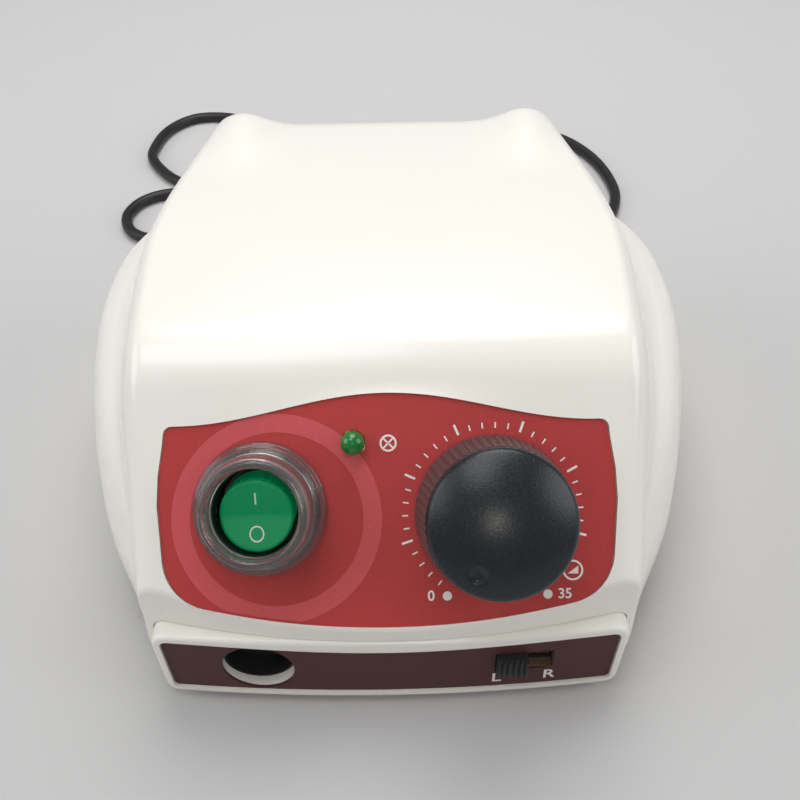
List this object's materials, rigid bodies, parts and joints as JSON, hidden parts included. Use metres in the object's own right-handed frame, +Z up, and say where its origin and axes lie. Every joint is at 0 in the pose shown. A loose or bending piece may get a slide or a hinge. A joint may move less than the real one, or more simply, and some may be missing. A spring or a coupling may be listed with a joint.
{
  "type": "micromotor control box",
  "caption": "Bench control box for a dental micromotor: sloped face with lit rocker switch, pilot lamp and speed knob, motor socket, direction slide, rear fuse, pedal jack and mains lead.",
  "frame": {"origin": "on the table under the middle of the box, measured without the mains lead", "axes": "+Z up, -Y out of the front with the connectors, +X to the right seen from the front"},
  "size_m": [0.189, 0.2889, 0.0747],
  "materials": {
    "case_white": "gloss moulded",
    "tray_grey": "fine grain",
    "foot_rubber": "matte",
    "screw_steel": "zinc plated",
    "overlay_red": "satin printed film",
    "overlay_maroon": "satin printed film",
    "switch_black": "matte",
    "rocker_green": "gloss, lit from inside",
    "contact_brass": "bright",
    "collar_smoke": "clear, smoke tint",
    "lamp_green": "clear tinted",
    "knob_dark": "matte",
    "knob_slate": "fine speckle",
    "shaft_steel": "turned",
    "pot_metal": "plated",
    "socket_black": "matte",
    "slide_brown": "matte",
    "board_green": "solder mask",
    "post_white": "matte",
    "can_blue": "sleeve",
    "sink_alu": "extruded",
    "core_iron": "varnished",
    "coil_copper": "enamelled wire under tape",
    "panel_black": "fine texture",
    "fuse_glass": "clear",
    "cord_black": "smooth sheath",
    "plug_black": "moulded"
  },
  "bodies": {
    "box": {"top_cover": "case_white", "connector_frame": "case_white", "base_tray": "tray_grey", "rubber_feet": "foot_rubber", "base_screws": "screw_steel", "control_overlay": "overlay_red", "connector_overlay": "overlay_maroon", "rocker_housing": "switch_black", "rocker_terminals": "contact_brass", "switch_collar": "collar_smoke", "pilot_lamp": "lamp_green", "lamp_leads": "screw_steel", "potentiometer": "pot_metal", "pot_nut": "contact_brass", "pot_terminals": "contact_brass", "motor_socket": "socket_black", "socket_contacts": "contact_brass", "socket_screws": "screw_steel", "direction_frame": "screw_steel", "direction_base": "slide_brown", "circuit_board": "board_green", "board_posts": "post_white", "board_screws": "screw_steel", "capacitors": "can_blue", "bridge_rectifier": "switch_black", "heat_sink": "sink_alu", "power_transistor": "switch_black", "terminal_block": "board_green", "transformer_core": "core_iron", "transformer_coil": "coil_copper", "transformer_bracket": "screw_steel", "transformer_screws": "screw_steel", "rear_panel": "panel_black", "rear_screws": "screw_steel", "fuse_holder": "switch_black", "fuse_nut": "switch_black", "pedal_jack": "switch_black", "jack_nut": "screw_steel", "cord_gland": "plug_black", "mains_cord": "cord_black", "cord_coil": "cord_black", "coil_tie": "plug_black", "mains_plug": "plug_black", "plug_pins": "contact_brass"},
    "speed_knob": {"knob_skirt": "knob_dark", "knob_cap": "knob_slate", "pot_shaft": "shaft_steel"},
    "rocker": {"rocker_button": "rocker_green"},
    "slider": {"direction_slider": "switch_black"},
    "fuse_carrier": {"fuse_cap": "switch_black", "fuse": "fuse_glass"}
  },
  "joints": [
    {"name": "speed_turn", "type": "hinge", "parent": "box", "child": "speed_knob", "pos_m": [0.0215, -0.05544, 0.04439], "axis": [0, 0.7314, -0.682], "range_deg": [0, 300]},
    {"name": "power_rock", "type": "hinge", "parent": "box", "child": "rocker", "pos_m": [-0.0258, -0.05604, 0.04741], "axis": [-1, 0, 0], "range_deg": [0, 22]},
    {"name": "direction_slide", "type": "slide", "parent": "box", "child": "slider", "axis": [1, 0, 0], "range_m": [0, 0.0056]},
    {"name": "fuse_twist", "type": "hinge", "parent": "box", "child": "fuse_carrier", "pos_m": [0.027, 0.06817, 0.034], "axis": [0, 1, 0], "range_deg": [0, 90]}
  ]
}
